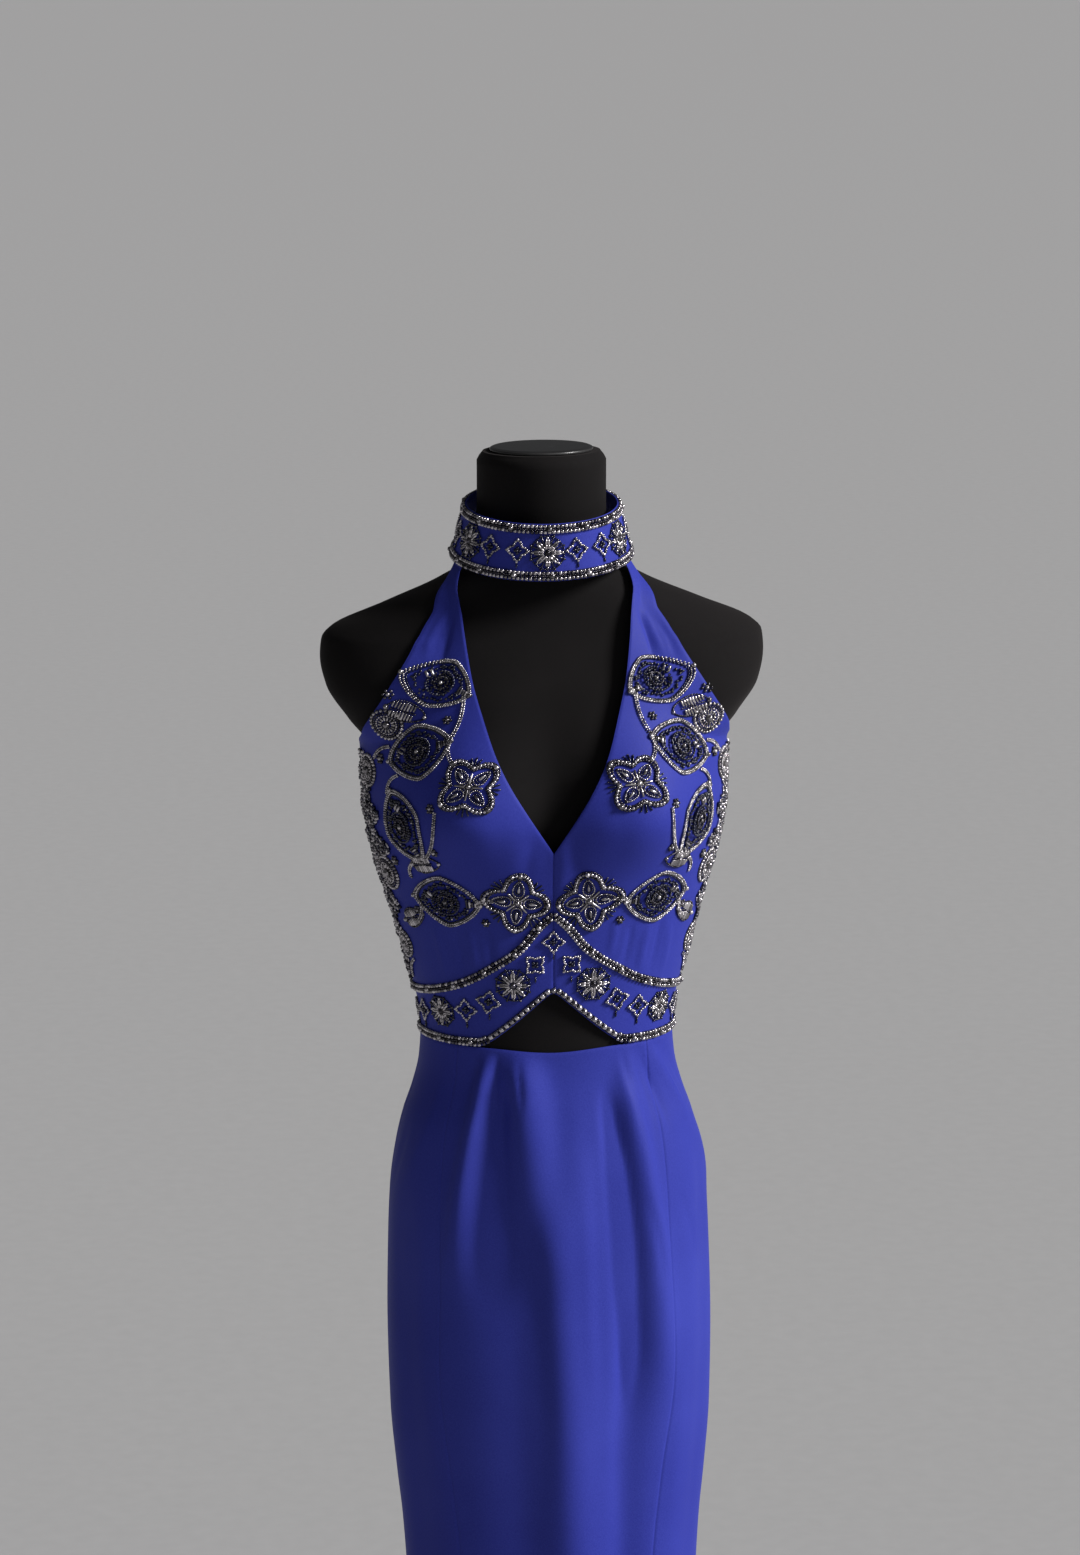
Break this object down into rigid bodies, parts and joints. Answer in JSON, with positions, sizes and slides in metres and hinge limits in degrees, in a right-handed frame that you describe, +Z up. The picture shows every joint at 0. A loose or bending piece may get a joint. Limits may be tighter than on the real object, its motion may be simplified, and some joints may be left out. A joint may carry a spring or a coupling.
{
  "type": "halter cocktail dress on a dress form",
  "caption": "Royal blue halter cocktail dress with a beaded collar, a cut-out under the waistband and a slim skirt, on a black limbless dress form with pole and base.",
  "frame": {"origin": "bottom centre of the bounding box, on the floor under the form's pole", "axes": "+Z up, the dress's front faces -Y, the wearer's left is +X"},
  "size_m": [0.381, 0.374, 1.5438],
  "materials": {
    "crepe": "royal blue stretch crepe with a soft sheen",
    "beads": "silver-lined clear and gunmetal glass beads with dark blue ones",
    "jersey": "black matt jersey cover",
    "lacquer": "black satin lacquer",
    "zip_metal": "blue paint, semi-gloss"
  },
  "bodies": {
    "dress_and_form": {"skirt_front": "crepe", "collar": "crepe", "bodice_front_left": "crepe", "bodice_back_left": "crepe", "waistband_front_left": "crepe", "waistband_back_left": "crepe", "skirt_back_left": "crepe", "bodice_front_right": "crepe", "bodice_back_right": "crepe", "waistband_front_right": "crepe", "waistband_back_right": "crepe", "skirt_back_right": "crepe", "button_lower": "crepe", "button_upper": "crepe", "collar_edging_lower": "beads", "collar_edging_upper": "beads", "seam_edging_left": "beads", "seam_edging_right": "beads", "waist_edging_left": "beads", "waist_edging_right": "beads", "star_upper_left": "beads", "star_lower_left": "beads", "leaf_top_left": "beads", "leaf_upper_left": "beads", "leaf_middle_left": "beads", "leaf_lower_left": "beads", "rosette_upper_left": "beads", "rosette_middle_left": "beads", "rosette_lower_left": "beads", "rosette_small_left": "beads", "burst_inner_left": "beads", "burst_outer_left": "beads", "star_upper_right": "beads", "star_lower_right": "beads", "leaf_top_right": "beads", "leaf_upper_right": "beads", "leaf_middle_right": "beads", "leaf_lower_right": "beads", "rosette_upper_right": "beads", "rosette_middle_right": "beads", "rosette_lower_right": "beads", "rosette_small_right": "beads", "burst_inner_right": "beads", "burst_outer_right": "beads", "collar_burst_front": "beads", "collar_burst_left": "beads", "collar_burst_right": "beads", "collar_burst_back_left": "beads", "collar_burst_back_right": "beads", "zip_chain": "zip_metal", "zip_slider": "zip_metal", "form_torso": "jersey", "form_neck_cap": "lacquer", "form_flange": "lacquer", "form_pole": "lacquer", "form_foot": "lacquer", "form_base": "lacquer"},
    "pull_tab": {"zip_pull": "zip_metal"}
  },
  "joints": [
    {"name": "zip_pull_hinge", "type": "hinge", "parent": "dress_and_form", "child": "pull_tab", "pos_m": [0, 0.10359, 1.20515], "axis": [1, 0, 0], "range_deg": [0, 115]}
  ]
}
